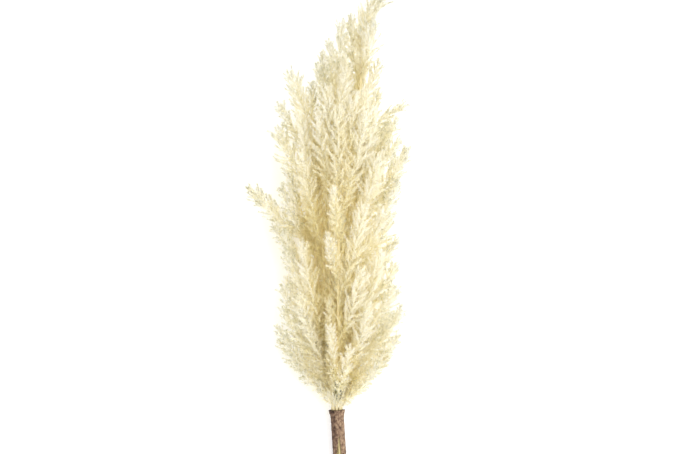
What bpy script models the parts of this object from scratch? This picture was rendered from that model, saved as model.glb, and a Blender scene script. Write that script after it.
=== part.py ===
"""A bundle of dried astilbe, lying on a table.

Nine flowering stems are held together at their cut ends by a sleeve of brown paper tape. Above the sleeve each
stem runs up into its own feathery plume: side sprays leave it on all sides, and every spray is set all round
with twigs, the small side branches that the florets crowd on.

The bundle is modelled in its own directions, in millimetres: u across it, v along it from the cut ends to the
tips, and w up out of the table. LAY then turns it into the part's frame, in metres, where the cut ends and the
underside of the plumes lie on the table at z = 0.
"""

import math
import random
from typing import NamedTuple

import bmesh
import bpy
import numpy as np
from mathutils import Matrix, Vector

MM = 0.001

# How the bundle lies: its plumes are thicker than the handle, so its axis rises towards the tips.
RISE = math.radians(8.0)
AXIS_HEIGHT = 5.75
MIDDLE_U = -9.8
MIDDLE_Y = 253.7
LAY = (
    Matrix.Scale(MM, 4)
    @ Matrix.Translation((-MIDDLE_U, -MIDDLE_Y, AXIS_HEIGHT))
    @ Matrix.Rotation(RISE, 4, "X")
)
TABLE_SIZE = (0.4, 0.8, 0.06)

# The handle: a ring of stems round one thicker stem, inside a sleeve of paper tape.
HANDLE_TOP_V = 92.0
HANDLE_FOOT_U = 4.6
HANDLE_TOP_U = -1.2
RING_RADIUS = 4.25
RING_STEM_RADIUS = 1.45
CENTRE_STEM_RADIUS = 2.2
STEM_TIP_RADIUS = 1.2
SLEEVE_FOOT_V = 15.0
SLEEVE_BORE = 6.0
SLEEVE_OUTER = 6.65
SLEEVE_FLARE = 1.2
SLEEVE_SIDES = 24
SLIT_TOP_V = 57.0
SLIT_WIDTH = 4.6
SLIT_U = 0.6
SLIT_DEPTH = 5.0

# A spray: a slim three-sided core whose every face is drawn out into a twig that leans towards the tip.
CORE_ROOT_RADIUS = 1.25
CORE_RADIUS = 1.9
CORE_TIP_RADIUS = 1.0
RING_STEP = 8.0
RING_TURN = math.radians(78.0)
BARE_ROOT = 0.1
LAST_TWIG = 5.0
TWIG_LEAN_ROOT = math.radians(50.0)
TWIG_LEAN_TIP = math.radians(26.0)

# The room that sprays and twigs leave each other. It is measured on balls set along them.
BALL_STEP = 1.1
TWIG_BALLS = 10
TWIG_BALL_RADIUS = 2.5
SHORTEST_TWIG = 0.3
CLEARANCE = 0.45
SPREAD = 7.0
SIDESTEPS = (0.0, 3.0, -3.0, 6.0, -6.0, 9.0, -9.0, 12.0, -12.0)
SEED = 11

Marks = list[tuple[Vector, float]]


class Side(NamedTuple):
    """A side spray: where along the bundle it leaves its stem, its tip (u, v, w) and its half width.

    It arches up towards its tip, by a share of how far it reaches out, or droops where the share is negative.
    """

    root_v: float
    tip: tuple[float, float, float]
    girth: float
    arch: float = 0.12


class Stem(NamedTuple):
    """A flowering stem: its seat in the handle, its route above it, and its sprays."""

    seat_deg: float | None
    route: list[tuple[float, float, float]]
    sides: list[Side]


STEMS = {
    "stem_crown": Stem(
        None,
        [(-1, 140, 0), (2, 200, 0), (6, 260, 1), (14, 330, 2), (20, 390, 1), (23, 430, 0), (22, 454, 0)],
        [
            Side(446, (45, 512, 0), 10, -0.5),
            Side(425, (33, 478, 9), 8),
            Side(405, (12, 486, -7), 8),
            Side(340, (11, 438, -9), 9),
            Side(215, (3, 290, 8), 9),
            Side(165, (5, 238, 6), 9),
            Side(385, (41, 441, 4), 9),
            Side(352, (68, 398, 3), 9, -0.15),
            Side(346, (42, 413, -3), 9),
            Side(360, (24, 446, -14), 9),
            Side(310, (18, 398, -17), 10),
            Side(330, (26, 412, 18), 9),
        ],
    ),
    "stem_top_left": Stem(
        135,
        [(-6, 150, 6), (-8, 220, 9), (-8, 290, 11), (-5, 345, 11), (-2, 385, 9)],
        [
            Side(385, (4, 478, 5), 12, 0.0),
            Side(372, (-9, 460, 9), 9),
            Side(352, (-16, 450, 1), 8),
            Side(350, (-21, 437, 7), 7),
            Side(330, (-10, 412, 20), 10),
            Side(350, (8, 440, 16), 9),
            Side(300, (-20, 388, 20), 10),
            Side(135, (-9, 205, 16), 7),
        ],
    ),
    "stem_left_high": Stem(
        180,
        [(-9, 150, 1), (-13, 220, 2), (-17, 290, 3), (-18, 345, 3)],
        [
            Side(342, (-47, 428, 2), 13, -0.04),
            Side(335, (-26, 420, -6), 8),
            Side(330, (-60, 399, -5), 9, 0.02),
            Side(285, (-60, 372, 3), 13, 0.02),
            Side(300, (-38, 388, 16), 10),
            Side(255, (-36, 350, 22), 11),
            Side(240, (-50, 330, -10), 10),
            Side(312, (-40, 385, -18), 10),
        ],
    ),
    "stem_left_low": Stem(
        225,
        [(-9, 140, -4), (-16, 190, -7), (-22, 238, -7), (-25, 264, -6)],
        [
            Side(260, (-90, 313, -4), 11, 0.05),
            Side(236, (-66, 276, 0), 8),
            Side(245, (-57, 316, 7), 8),
            Side(172, (-54, 270, 4), 11, 0.15),
            Side(146, (-57, 216, 4), 10),
            Side(128, (-56, 194, 10), 9),
            Side(118, (-62, 175, 2), 9),
            Side(108, (-60, 160, -8), 8),
            Side(104, (-47, 145, 2), 5),
            Side(96, (-20, 122, 5), 4),
            Side(205, (-56, 268, -20), 11),
            Side(158, (-52, 224, -19), 11),
            Side(124, (-38, 205, 27), 11),
            Side(150, (-36, 258, 22), 12),
            Side(112, (-28, 176, 25), 9),
        ],
    ),
    "stem_right_high": Stem(
        45,
        [(4, 150, 7), (10, 220, 10), (17, 290, 10), (20, 330, 9)],
        [
            Side(330, (38, 378, 4), 9),
            Side(312, (58, 382, 7), 9, 0.0),
            Side(300, (60, 362, 11), 10, -0.08),
            Side(262, (69, 353, 3), 11, 0.05),
            Side(230, (59, 320, 9), 10),
            Side(304, (36, 392, 16), 10),
            Side(265, (40, 345, 24), 11),
        ],
    ),
    "stem_right_low": Stem(
        0,
        [(9, 140, 1), (17, 190, 2), (25, 238, 2)],
        [
            Side(238, (54, 286, 2), 10),
            Side(218, (60, 263, 4), 7, 0.05),
            Side(180, (58, 238, 4), 10),
            Side(156, (58, 214, 10), 11),
            Side(136, (65, 194, 2), 9, 0.2),
            Side(118, (61, 166, 8), 9),
            Side(106, (53, 149, 0), 8),
            Side(102, (41, 139, 6), 5),
            Side(96, (18, 121, 6), 4),
            Side(196, (54, 258, -18), 11),
            Side(134, (54, 188, -17), 10),
            Side(122, (30, 198, 28), 11),
            Side(154, (42, 250, 26), 12),
        ],
    ),
    "stem_front": Stem(
        90,
        [(-1, 140, 11), (0, 190, 18), (1, 240, 24), (0, 292, 27)],
        [
            Side(292, (1, 393, 30), 9, 0.0),
            Side(288, (17, 403, 27), 9),
            Side(280, (28, 388, 27), 9),
            Side(262, (-5, 314, 40), 8),
            Side(222, (-10, 268, 38), 8),
            Side(204, (26, 296, 36), 11),
            Side(160, (24, 232, 36), 10),
            Side(118, (-7, 178, 30), 6),
            Side(108, (12, 158, 26), 8),
        ],
    ),
    "stem_back_left": Stem(
        270,
        [(-4, 150, -9), (-8, 220, -14), (-8, 290, -14), (-5, 345, -10)],
        [
            Side(345, (-6, 428, -14), 10),
            Side(300, (-24, 383, -27), 11),
            Side(262, (-32, 345, -34), 11),
            Side(212, (-30, 302, -50), 12),
            Side(168, (-32, 246, -41), 12),
            Side(132, (-36, 205, -34), 12),
            Side(106, (-32, 166, -24), 10),
            Side(110, (-10, 182, -30), 11),
        ],
    ),
    "stem_back_right": Stem(
        315,
        [(5, 150, -7), (12, 220, -13), (15, 290, -13), (18, 345, -9)],
        [
            Side(345, (52, 380, -16), 10),
            Side(300, (26, 376, -28), 11),
            Side(262, (44, 335, -30), 11),
            Side(212, (34, 294, -49), 12),
            Side(168, (32, 240, -41), 12),
            Side(132, (36, 200, -33), 12),
            Side(106, (34, 162, -24), 10),
            Side(200, (6, 280, -42), 11),
        ],
    ),
}


class Spray(NamedTuple):
    """A side spray as its curve's three control points and its half width."""

    root: Vector
    bend: Vector
    tip: Vector
    girth: float


class Twig(NamedTuple):
    """A face of a spray's core, by its number, and where the twig drawn out of it starts and ends."""

    face: int
    root: Vector
    point: Vector


def handle_middle(v: float) -> Vector:
    """The handle's axis, which leans a little across the bundle."""
    lean = (HANDLE_TOP_U - HANDLE_FOOT_U) / HANDLE_TOP_V
    return Vector((HANDLE_FOOT_U + lean * v, v, 0.0))


def seat(stem: Stem) -> Vector:
    """Where a stem stands in the handle, measured from the handle's axis."""
    if stem.seat_deg is None:
        return Vector((0.0, 0.0, 0.0))
    turn = math.radians(stem.seat_deg)
    return Vector((math.cos(turn), 0.0, math.sin(turn))) * RING_RADIUS


def smooth_line(points: list[Vector], steps: int) -> list[Vector]:
    """Points along a Catmull-Rom curve through the given points."""
    ends = [points[0] * 2 - points[1], *points, points[-1] * 2 - points[-2]]
    line = []
    for a, b, c, d in zip(ends, ends[1:], ends[2:], ends[3:]):
        for step in range(steps):
            t = step / steps
            square = (a * 2 - b * 5 + c * 4 - d) * t**2
            cube = (b * 3 - a - c * 3 + d) * t**3
            line.append((b * 2 + (c - a) * t + square + cube) / 2)
    return [*line, points[-1].copy()]


def stem_line(stem: Stem) -> list[Vector]:
    """A stem's middle line, straight in the handle and then along its route."""
    at = seat(stem)
    foot = handle_middle(0.0) + at
    top = handle_middle(HANDLE_TOP_V) + at
    bends = smooth_line([foot.lerp(top, 0.6), top, *(Vector(place) for place in stem.route)], 2)
    return [foot, *bends[2:]]


def stem_marks(stem: Stem) -> Marks:
    """A stem's middle line with its radius, which tapers above the handle."""
    line = stem_line(stem)
    thick = CENTRE_STEM_RADIUS if stem.seat_deg is None else RING_STEM_RADIUS
    top = line[-1].y
    shares = [max(0.0, (place.y - HANDLE_TOP_V) / (top - HANDLE_TOP_V)) for place in line]
    return [(place, thick + (STEM_TIP_RADIUS - thick) * share) for place, share in zip(line, shares)]


def point_at(line: list[Vector], v: float) -> Vector:
    """The point of a stem's middle line at that distance along the bundle."""
    for a, b in zip(line, line[1:]):
        if a.y <= v <= b.y:
            return a.lerp(b, (v - a.y) / (b.y - a.y))
    return line[-1].copy()


def arching(root: Vector, side: Side, sidestep: float) -> Spray:
    """A spray that leaves its stem at a slant and arches to its tip, moved aside through the plume's depth."""
    tip = Vector(side.tip) + Vector((0.0, 0.0, sidestep * 0.6))
    reach = tip - root
    reach -= reach.normalized() * LAST_TWIG
    outward = Vector((reach.x, 0.0, reach.z))
    bend = root + reach * 0.5 + (outward - Vector((0.0, outward.length, 0.0))) * side.arch
    return Spray(root, bend + Vector((0.0, 0.0, sidestep)), root + reach, side.girth)


def on_spray(spray: Spray, t: float) -> Vector:
    """A point of the spray's curve, t from 0 at the root to 1 at the tip."""
    return spray.root * (1 - t) ** 2 + spray.bend * (2 * t * (1 - t)) + spray.tip * t**2


def way_of_spray(spray: Spray, t: float) -> Vector:
    """The direction of the spray's curve there."""
    return ((spray.bend - spray.root) * (1 - t) + (spray.tip - spray.bend) * t).normalized()


def core_radius(t: float) -> float:
    """The core's radius along a spray: slim where it leaves the stem, and slim again at its tip."""
    if t < 0.25:
        return CORE_ROOT_RADIUS + (CORE_RADIUS - CORE_ROOT_RADIUS) * t / 0.25
    return CORE_RADIUS + (CORE_TIP_RADIUS - CORE_RADIUS) * (t - 0.25) / 0.75


def fullness(t: float) -> float:
    """How far the twigs stand out along a spray, as a share of its half width."""
    if t < 0.35:
        return 0.4 + 0.6 * math.sin(t / 0.35 * math.pi / 2)
    return 1.0 - 0.7 * ((t - 0.35) / 0.65) ** 1.7


def core_marks(spray: Spray) -> Marks:
    """The middles of a spray's rings of corners, and the core's radius at each."""
    rings = max(4, round((spray.tip - spray.root).length / RING_STEP))
    return [(on_spray(spray, i / rings), core_radius(i / rings)) for i in range(rings + 1)]


def nearest_share(spray: Spray, place: Vector) -> float:
    """How far along the spray's curve a place is."""
    shares = [i / 60 for i in range(61)]
    return min(shares, key=lambda t: (on_spray(spray, t) - place).length_squared)


def twigs_of(spray: Spray, core: bpy.types.Mesh, draw: random.Random) -> list[Twig]:
    """The twig to be drawn out of each face of a spray's core that lies above its bare root."""
    found = []
    for face in core.polygons:
        t = nearest_share(spray, face.center)
        way = way_of_spray(spray, t)
        if t < BARE_ROOT:
            continue
        if face.normal.dot(way) > 0.9:
            found.append(Twig(face.index, face.center.copy(), face.center + way * LAST_TWIG))
            continue
        around = face.center - on_spray(spray, t)
        around = (around - way * around.dot(way)).normalized()
        lean = TWIG_LEAN_ROOT + (TWIG_LEAN_TIP - TWIG_LEAN_ROOT) * t
        reach = spray.girth * fullness(t) / math.sin(lean) * draw.uniform(0.85, 1.1)
        point = face.center + (way * math.cos(lean) + around * math.sin(lean)) * reach
        found.append(Twig(face.index, face.center.copy(), point))
    return found


def balls(marks: Marks) -> np.ndarray:
    """A tapering line as rows of balls about a millimetre apart: their middles and radii."""
    found = []
    for (start, first), (end, last) in zip(marks, marks[1:]):
        count = max(2, math.ceil((end - start).length / BALL_STEP) + 1)
        for i in range(count):
            share = i / (count - 1)
            found.append((*start.lerp(end, share), first + (last - first) * share))
    return np.array(found)


def twig_balls(twigs: list[Twig]) -> np.ndarray:
    """Twigs as a fixed number of balls each, that shrink towards its point."""
    found = []
    for twig in twigs:
        for i in range(TWIG_BALLS):
            share = (i + 1) / TWIG_BALLS
            found.append((*twig.root.lerp(twig.point, share), TWIG_BALL_RADIUS * (1.0 - share)))
    return np.array(found).reshape(-1, 4)


class Room:
    """What the stems, sprays and twigs made so far take up, as rows of balls with their owner's number."""

    def __init__(self) -> None:
        self.rows: list[np.ndarray] = []
        self.owners: list[int] = []

    def take(self, owner: int, rows: np.ndarray) -> None:
        """Fills the balls' place for their owner."""
        self.rows.append(rows)
        self.owners.append(owner)

    def gaps(self, rows: np.ndarray, passed_over: set[int]) -> np.ndarray:
        """How far each ball is from the nearest thing that isn't passed over."""
        found = [kept for kept, owner in zip(self.rows, self.owners) if owner not in passed_over]
        others = np.concatenate(found)
        low = rows[:, :3].min(axis=0) - 2 * SPREAD
        high = rows[:, :3].max(axis=0) + 2 * SPREAD
        others = others[((others[:, :3] > low) & (others[:, :3] < high)).all(axis=1)]
        if not len(others):
            return np.full(len(rows), SPREAD)
        apart = np.linalg.norm(others[None, :, :3] - rows[:, None, :3], axis=2)
        return (apart - others[None, :, 3] - rows[:, None, 3]).min(axis=1)


def stem_number(name: str) -> int:
    """The owner's number of a stem's own tube. Sprays count from 0 up."""
    return -1 - list(STEMS).index(name)


def place_sprays(room: Room) -> list[tuple[str, Spray]]:
    """Sets every stem's sprays, each bent to where it has most room and clear of what other stems carry."""
    for name, stem in STEMS.items():
        room.take(stem_number(name), balls(stem_marks(stem)))
    placed = []
    for name, stem in STEMS.items():
        line = stem_line(stem)
        own = {stem_number(name)}
        for side in stem.sides:
            tries = [arching(point_at(line, side.root_v), side, step) for step in SIDESTEPS]
            clear = [spray for spray in tries if room.gaps(balls(core_marks(spray)), own).min() > CLEARANCE]
            if not clear:
                continue
            best = max(clear, key=lambda spray: outer_gap(spray, room))
            own.add(len(placed))
            room.take(len(placed), balls(core_marks(best)))
            placed.append((name, best))
    return placed


def outer_gap(spray: Spray, room: Room) -> float:
    """How much room a spray has round its outer half, up to what is enough."""
    marks = core_marks(spray)
    return min(SPREAD, room.gaps(balls(marks[len(marks) // 2 :]), set()).min())


def cut_back(twigs: list[Twig], gaps: np.ndarray) -> list[Twig]:
    """Ends each twig before the first of its balls that would touch something, and drops the shortest."""
    found = []
    for twig, row in zip(twigs, gaps.reshape(-1, TWIG_BALLS)):
        blocked = np.flatnonzero(row < CLEARANCE)
        share = (blocked[0] - 0.5) / TWIG_BALLS if len(blocked) else 1.0
        if share > SHORTEST_TWIG:
            found.append(twig._replace(point=twig.root.lerp(twig.point, share)))
    return found


def clear_scene() -> None:
    """Removes what the scene starts with."""
    for obj in list(bpy.data.objects):
        bpy.data.objects.remove(obj, do_unlink=True)


def new_collection(name: str, shown: bool) -> bpy.types.Collection:
    """A collection in the scene, kept out of the render where it holds helpers."""
    collection = bpy.data.collections.new(name)
    bpy.context.scene.collection.children.link(collection)
    collection.hide_render = not shown
    return collection


def add_helper(obj: bpy.types.Object, helpers: bpy.types.Collection) -> bpy.types.Object:
    """Puts a cutter or an outline among the helpers, out of the render."""
    for old in list(obj.users_collection):
        old.objects.unlink(obj)
    helpers.objects.link(obj)
    obj.hide_render = True
    obj.display_type = "WIRE"
    return obj


def material(name: str, colour: tuple[float, float, float], roughness: float) -> bpy.types.Material:
    """A plain matt material."""
    made = bpy.data.materials.new(name)
    made.use_nodes = True
    shader = made.node_tree.nodes["Principled BSDF"]
    shader.inputs["Base Color"].default_value = (*colour, 1.0)
    shader.inputs["Roughness"].default_value = roughness
    shader.inputs["Metallic"].default_value = 0.0
    made.diffuse_color = (*colour, 1.0)
    return made


def poly_curve(name: str, places: list[Vector], closed: bool) -> bpy.types.Object:
    """A curve of straight runs through the places, linked to the scene."""
    curve = bpy.data.curves.new(name, "CURVE")
    curve.dimensions = "3D"
    spline = curve.splines.new("POLY")
    spline.points.add(len(places) - 1)
    for point, place in zip(spline.points, places):
        point.co = (*place, 1.0)
    spline.use_cyclic_u = closed
    drawn = bpy.data.objects.new(name, curve)
    bpy.context.scene.collection.objects.link(drawn)
    return drawn


def mesh_of(obj: bpy.types.Object) -> bpy.types.Mesh:
    """The mesh that an object's curve or modifiers make."""
    bpy.context.view_layer.update()
    graph = bpy.context.evaluated_depsgraph_get()
    return bpy.data.meshes.new_from_object(obj.evaluated_get(graph), depsgraph=graph)


def tube(name: str, marks: Marks, outline: bpy.types.Object | None = None, turn: float = 0.0) -> bpy.types.Mesh:
    """A tapering tube along the marks, closed at both ends, round or with an outline that turns at each mark."""
    drawn = poly_curve(name, [place for place, _ in marks], False)
    drawn.data.use_fill_caps = True
    for i, (point, (_, radius)) in enumerate(zip(drawn.data.splines[0].points, marks)):
        point.radius = radius
        point.tilt = turn * i
    if outline:
        drawn.data.bevel_mode = "OBJECT"
        drawn.data.bevel_object = outline
    else:
        drawn.data.bevel_depth = 1.0
        drawn.data.bevel_resolution = 1
    mesh = mesh_of(drawn)
    bpy.data.objects.remove(drawn, do_unlink=True)
    work = bmesh.new()
    work.from_mesh(mesh)
    bmesh.ops.remove_doubles(work, verts=work.verts, dist=1e-4)
    bmesh.ops.recalc_face_normals(work, faces=work.faces)
    if outline:
        bmesh.ops.triangulate(work, faces=work.faces, quad_method="SHORT_EDGE")
    work.to_mesh(mesh)
    work.free()
    return mesh


def core_outline(helpers: bpy.types.Collection) -> bpy.types.Object:
    """The three-sided outline of a spray's core."""
    turns = [math.tau * i / 3 for i in range(3)]
    outline = poly_curve("core_outline", [Vector((math.cos(a), math.sin(a), 0.0)) for a in turns], True)
    return add_helper(outline, helpers)


def draw_out(mesh: bpy.types.Mesh, twigs: list[Twig]) -> None:
    """Draws a twig's point out of each face that carries one."""
    work = bmesh.new()
    work.from_mesh(mesh)
    faces = list(work.faces)
    for twig in twigs:
        middle = bmesh.ops.poke(work, faces=[faces[twig.face]])["verts"][0]
        middle.co = twig.point
    work.to_mesh(mesh)
    work.free()


def make_sprays(room: Room, outline: bpy.types.Object) -> dict[str, list[bpy.types.Mesh]]:
    """Every stem's sprays as meshes, their twigs cut back where they would reach into another spray."""
    draw = random.Random(SEED)
    made = {name: [] for name in STEMS}
    for number, (name, spray) in enumerate(place_sprays(room)):
        mesh = tube("spray", core_marks(spray), outline, RING_TURN)
        twigs = twigs_of(spray, mesh, draw)
        twigs = cut_back(twigs, room.gaps(twig_balls(twigs), {number, stem_number(name)}))
        room.take(number, twig_balls(twigs))
        draw_out(mesh, twigs)
        made[name].append(mesh)
    return made


def keep_largest_body(mesh: bpy.types.Mesh) -> None:
    """Drops the loose scraps and sealed hollows that the joining left, which are islands of the mesh."""
    work = bmesh.new()
    work.from_mesh(mesh)
    unseen = set(work.verts)
    islands = []
    while unseen:
        island = set()
        edge = [unseen.pop()]
        while edge:
            vert = edge.pop()
            island.add(vert)
            near = {link.other_vert(vert) for link in vert.link_edges} & unseen
            unseen -= near
            edge.extend(near)
        islands.append(island)
    islands.sort(key=len)
    for island in islands[:-1]:
        bmesh.ops.delete(work, geom=list(island), context="VERTS")
    work.to_mesh(mesh)
    work.free()


def apply_boolean(obj: bpy.types.Object, operation: str, other: bpy.types.Object | bpy.types.Collection) -> None:
    """Joins a collection to the object, or cuts another object from it, and keeps the result as its mesh."""
    change = obj.modifiers.new(operation.lower(), "BOOLEAN")
    change.operation = operation
    change.solver = "MANIFOLD"
    if isinstance(other, bpy.types.Collection):
        change.operand_type = "COLLECTION"
        change.collection = other
    else:
        change.object = other
    mesh = mesh_of(obj)
    obj.modifiers.clear()
    obj.data = mesh


def add_plume(name: str, sprays: list[bpy.types.Mesh], table: bpy.types.Object,
              shown: bpy.types.Collection) -> bpy.types.Object:
    """One flowering stem: its tube and its sprays joined in one body, pressed flat where it lies on the table."""
    plume = bpy.data.objects.new(name, tube(name, stem_marks(STEMS[name])))
    shown.objects.link(plume)
    joined = new_collection(name + "_sprays", False)
    for mesh in sprays:
        joined.objects.link(bpy.data.objects.new("spray", mesh))
    apply_boolean(plume, "UNION", joined)
    for spray in list(joined.objects):
        bpy.data.objects.remove(spray, do_unlink=True)
    bpy.data.collections.remove(joined)
    plume.data.transform(LAY)
    apply_boolean(plume, "DIFFERENCE", table)
    keep_largest_body(plume.data)
    return plume


def add_table(helpers: bpy.types.Collection) -> bpy.types.Object:
    """The space under the table top, which the soft underside is pressed flat against."""
    bpy.ops.mesh.primitive_cube_add(size=1.0, location=(0.0, 0.0, -TABLE_SIZE[2] / 2))
    table = bpy.context.object
    table.name = "table_space"
    table.scale = TABLE_SIZE
    return add_helper(table, helpers)


def add_slit(helpers: bpy.types.Collection) -> bpy.types.Object:
    """The wedge that parts the sleeve's two edges on its upper side, from its point down past the foot."""
    height = SLIT_TOP_V - SLEEVE_FOOT_V + 6.0
    bpy.ops.mesh.primitive_cone_add(vertices=3, radius1=1.0, radius2=1.0, depth=1.0)
    slit = bpy.context.object
    slit.name = "slit"
    across = Vector((SLIT_WIDTH / math.sqrt(3), height / 1.5, 2 * SLIT_DEPTH))
    middle = Vector((handle_middle(SLIT_TOP_V).x + SLIT_U, SLIT_TOP_V - height / 1.5, SLEEVE_OUTER))
    slit.data.transform(LAY @ Matrix.Translation(middle) @ Matrix.Diagonal((*across, 1.0)))
    return add_helper(slit, helpers)


def add_sleeve(shown: bpy.types.Collection, helpers: bpy.types.Collection) -> bpy.types.Object:
    """The paper tape sleeve: a turned tube, flared at its top edge, with a slit that opens towards its foot."""
    foot = handle_middle(SLEEVE_FOOT_V)
    way = handle_middle(HANDLE_TOP_V) - foot
    profile = [
        (SLEEVE_OUTER, 0.0),
        (SLEEVE_OUTER, way.length * 0.5),
        (SLEEVE_OUTER + 0.15, way.length - 9.0),
        (SLEEVE_OUTER + SLEEVE_FLARE, way.length),
        (SLEEVE_BORE + 0.9, way.length),
        (SLEEVE_BORE, way.length - 6.0),
        (SLEEVE_BORE, 0.0),
    ]
    drawn = poly_curve("stem_wrap_profile", [Vector((radius, 0.0, height)) for radius, height in profile], True)
    sleeve = bpy.data.objects.new("stem_wrap", mesh_of(drawn))
    bpy.data.objects.remove(drawn, do_unlink=True)
    shown.objects.link(sleeve)
    turned = sleeve.modifiers.new("turn", "SCREW")
    turned.steps = SLEEVE_SIDES
    turned.render_steps = SLEEVE_SIDES
    turned.use_merge_vertices = True
    turned.merge_threshold = 0.00001
    sleeve.data = mesh_of(sleeve)
    sleeve.modifiers.clear()
    aim = way.to_track_quat("Z", "Y").to_matrix().to_4x4()
    sleeve.data.transform(LAY @ Matrix.Translation(foot) @ aim)
    work = bmesh.new()
    work.from_mesh(sleeve.data)
    bmesh.ops.recalc_face_normals(work, faces=work.faces)
    work.to_mesh(sleeve.data)
    work.free()
    apply_boolean(sleeve, "DIFFERENCE", add_slit(helpers))
    return sleeve


def main() -> None:
    """Builds the bundle."""
    clear_scene()
    shown = new_collection("dried_astilbe_bundle", True)
    helpers = new_collection("helpers", False)
    cream = material("dried_florets", (0.83, 0.75, 0.52), 0.9)
    paper = material("brown_paper_tape", (0.33, 0.21, 0.13), 0.85)
    table = add_table(helpers)
    sprays = make_sprays(Room(), core_outline(helpers))
    for name in STEMS:
        plume = add_plume(name, sprays[name], table, shown)
        plume.data.materials.append(cream)
    sleeve = add_sleeve(shown, helpers)
    sleeve.data.materials.append(paper)


main()
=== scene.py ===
"""The looks of a bundle of dried astilbe that lies on a pale table.

Nine flowering stems are held together at their cut ends by a sleeve of brown paper tape. Every stem of the
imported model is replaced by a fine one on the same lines: a tube with its sprays, each spray set all round
with twigs, and every twig crowded with the needle-thin bracts of its florets. The sleeve is replaced by tape
wound in overlapping turns.

The bundle is modelled in its own directions, in millimetres: u across it, v along it from the cut ends to the
tips, and w up out of the table. LAY then turns it into the part's frame, in metres.
"""

import logging
import math
import random
from collections.abc import Callable, Iterator
from contextlib import contextmanager
from dataclasses import dataclass
from enum import Enum

import bmesh
import bpy
import numpy as np
from mathutils import Matrix, Vector


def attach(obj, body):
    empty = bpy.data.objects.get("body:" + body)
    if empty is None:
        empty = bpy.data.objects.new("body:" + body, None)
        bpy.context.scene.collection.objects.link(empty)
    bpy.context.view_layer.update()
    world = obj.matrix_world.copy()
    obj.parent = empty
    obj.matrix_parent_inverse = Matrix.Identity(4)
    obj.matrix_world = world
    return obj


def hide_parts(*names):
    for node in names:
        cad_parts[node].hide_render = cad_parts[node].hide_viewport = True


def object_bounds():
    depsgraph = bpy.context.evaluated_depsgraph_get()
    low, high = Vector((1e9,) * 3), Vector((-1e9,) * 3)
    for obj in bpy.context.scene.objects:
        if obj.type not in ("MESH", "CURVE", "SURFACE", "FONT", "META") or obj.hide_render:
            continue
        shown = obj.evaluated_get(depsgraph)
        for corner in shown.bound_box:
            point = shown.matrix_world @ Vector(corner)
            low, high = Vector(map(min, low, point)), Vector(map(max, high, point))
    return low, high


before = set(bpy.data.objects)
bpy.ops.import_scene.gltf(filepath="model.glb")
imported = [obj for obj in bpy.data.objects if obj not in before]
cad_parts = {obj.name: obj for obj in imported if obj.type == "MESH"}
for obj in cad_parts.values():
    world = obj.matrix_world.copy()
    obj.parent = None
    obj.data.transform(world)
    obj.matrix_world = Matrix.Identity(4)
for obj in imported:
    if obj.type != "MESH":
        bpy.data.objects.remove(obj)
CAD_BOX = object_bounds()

logger = logging.getLogger("dried_astilbe")

Mesh = bpy.types.Mesh
Object = bpy.types.Object
Socket = bpy.types.NodeSocket
Triple = tuple[float, float, float]
Colour = Triple
Band = tuple[float, float]
Marks = list[tuple[Vector, float]]

MM = 0.001
# The attribute for how much painted shade each needle's point takes.
POINT_SHADE = "tip"
# The attribute for how pale each twig is; a low tone takes the heart's painted tan shade.
TONE = "tone"

# How the bundle lies: its axis rises towards the tips.
RISE = math.radians(8.0)
AXIS_HEIGHT = 5.75
MIDDLE_U = -9.8
MIDDLE_Y = 253.7
LAY = (
    Matrix.Scale(MM, 4)
    @ Matrix.Translation((-MIDDLE_U, -MIDDLE_Y, AXIS_HEIGHT))
    @ Matrix.Rotation(RISE, 4, "X")
)

# What chance starts from, the turn from one twig or needle to the next, and how close corners are merged.
SEED = 7
GOLDEN_TURN = math.radians(137.5)
MERGE_DISTANCE = 1e-4

# The handle and its stems, which are straight for most of its length.
HANDLE_TOP_V = 92.0
HANDLE_FOOT_U = 4.6
HANDLE_TOP_U = -1.2
RING_RADIUS = 4.25
RING_STEM_RADIUS = 1.45
CENTRE_STEM_RADIUS = 2.2
STEM_TIP_RADIUS = 1.2
STRAIGHT_SHARE = 0.6

# A spray's tip moves aside less than its middle does, and it ends in one last twig.
TIP_ASIDE = 0.6
LAST_TWIG = 5.0

# How far the twigs stand out along a spray, as shares of its half width.
FULL_FROM = 0.35
ROOT_FULLNESS = 0.4
TIP_FULLNESS = 0.5
TIP_ROUNDING = 2.2


def smooth_line(points: list[Vector], steps: int) -> list[Vector]:
    """Points along a Catmull-Rom curve through the given points.

    Args:
        points: The places that the curve goes through.
        steps: How many runs each stretch between two of them gets.

    Returns:
        The points of the curve, its two ends included.
    """
    ends = [points[0] * 2 - points[1], *points, points[-1] * 2 - points[-2]]
    line = []
    for a, b, c, d in zip(ends, ends[1:], ends[2:], ends[3:]):
        for step in range(steps):
            t = step / steps
            square = (a * 2 - b * 5 + c * 4 - d) * t**2
            cube = (b * 3 - a - c * 3 + d) * t**3
            line.append((b * 2 + (c - a) * t + square + cube) / 2)
    return [*line, points[-1].copy()]


def handle_middle(v: float) -> Vector:
    """The handle's axis, which leans a little across the bundle."""
    lean = (HANDLE_TOP_U - HANDLE_FOOT_U) / HANDLE_TOP_V
    return Vector((HANDLE_FOOT_U + lean * v, v, 0.0))


@dataclass(frozen=True)
class Side:
    """A side spray: where along the bundle it leaves its stem, its tip (u, v, w) and its half width.

    It is moved aside through the plume's depth, to where it has room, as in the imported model. It arches up
    towards its tip, by a share of how far it reaches out, or droops where the share is negative. Crowding is
    how many times as many twigs as usual it has.
    """

    root_v: float
    tip: Triple
    girth: float
    aside: float = 0.0
    arch: float = 0.12
    crowding: float = 1.0


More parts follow.
